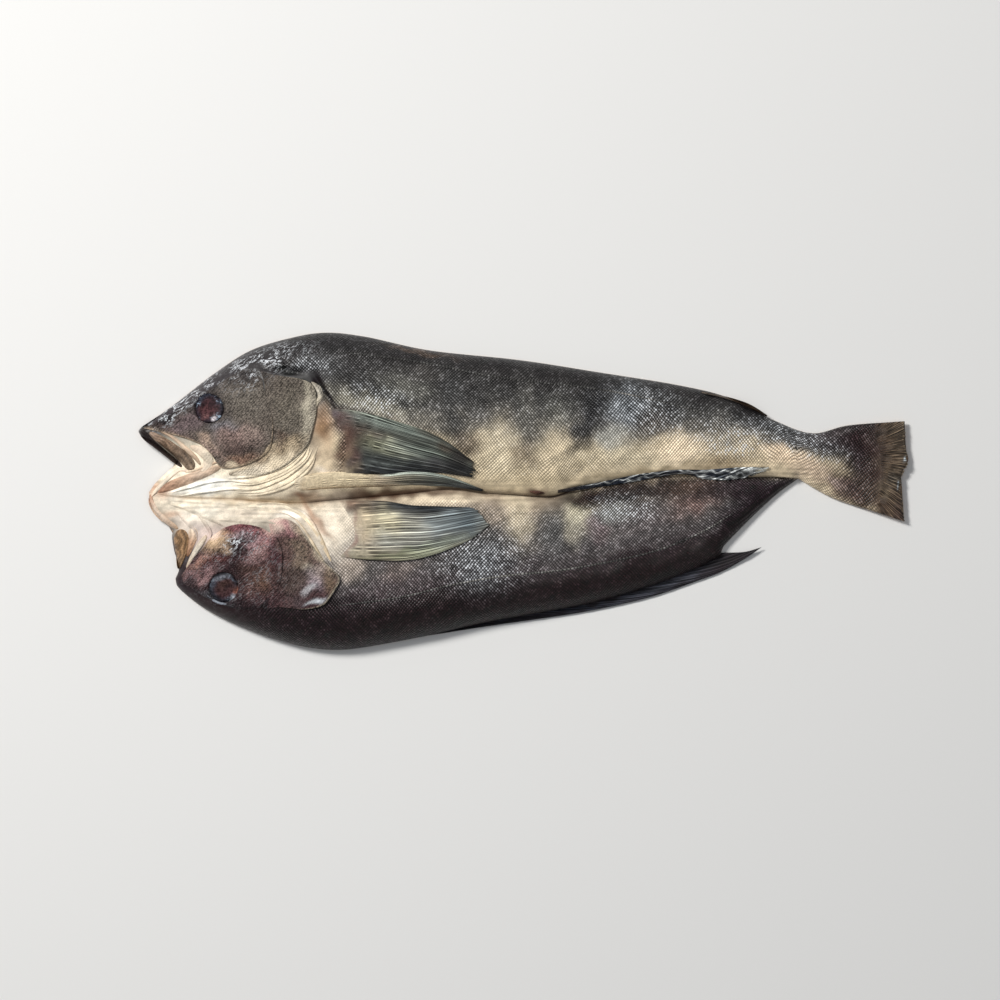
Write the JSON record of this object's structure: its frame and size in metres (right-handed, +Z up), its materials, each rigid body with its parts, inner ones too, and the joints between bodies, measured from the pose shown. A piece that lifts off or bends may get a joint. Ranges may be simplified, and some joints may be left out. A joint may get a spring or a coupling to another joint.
{
  "type": "half-dried atka mackerel",
  "caption": "Whole fish split along its back, opened flat and half dried, lying skin side up with its heads, fins and tail on.",
  "frame": {"origin": "middle of the fish's outline, on the surface that it lies on", "axes": "+X along the fish towards its tail, +Y towards the back of the half that keeps the tail, +Z up from the flesh side to the skin side"},
  "size_m": [0.3808, 0.1571, 0.0223],
  "materials": {
    "skin": "satin",
    "fin": "satin",
    "throat": "satin",
    "flesh": "satin",
    "eye": "gloss"
  },
  "bodies": {
    "root": {"fish": "skin", "eye_upper": "eye", "eye_lower": "eye"}
  },
  "joints": []
}
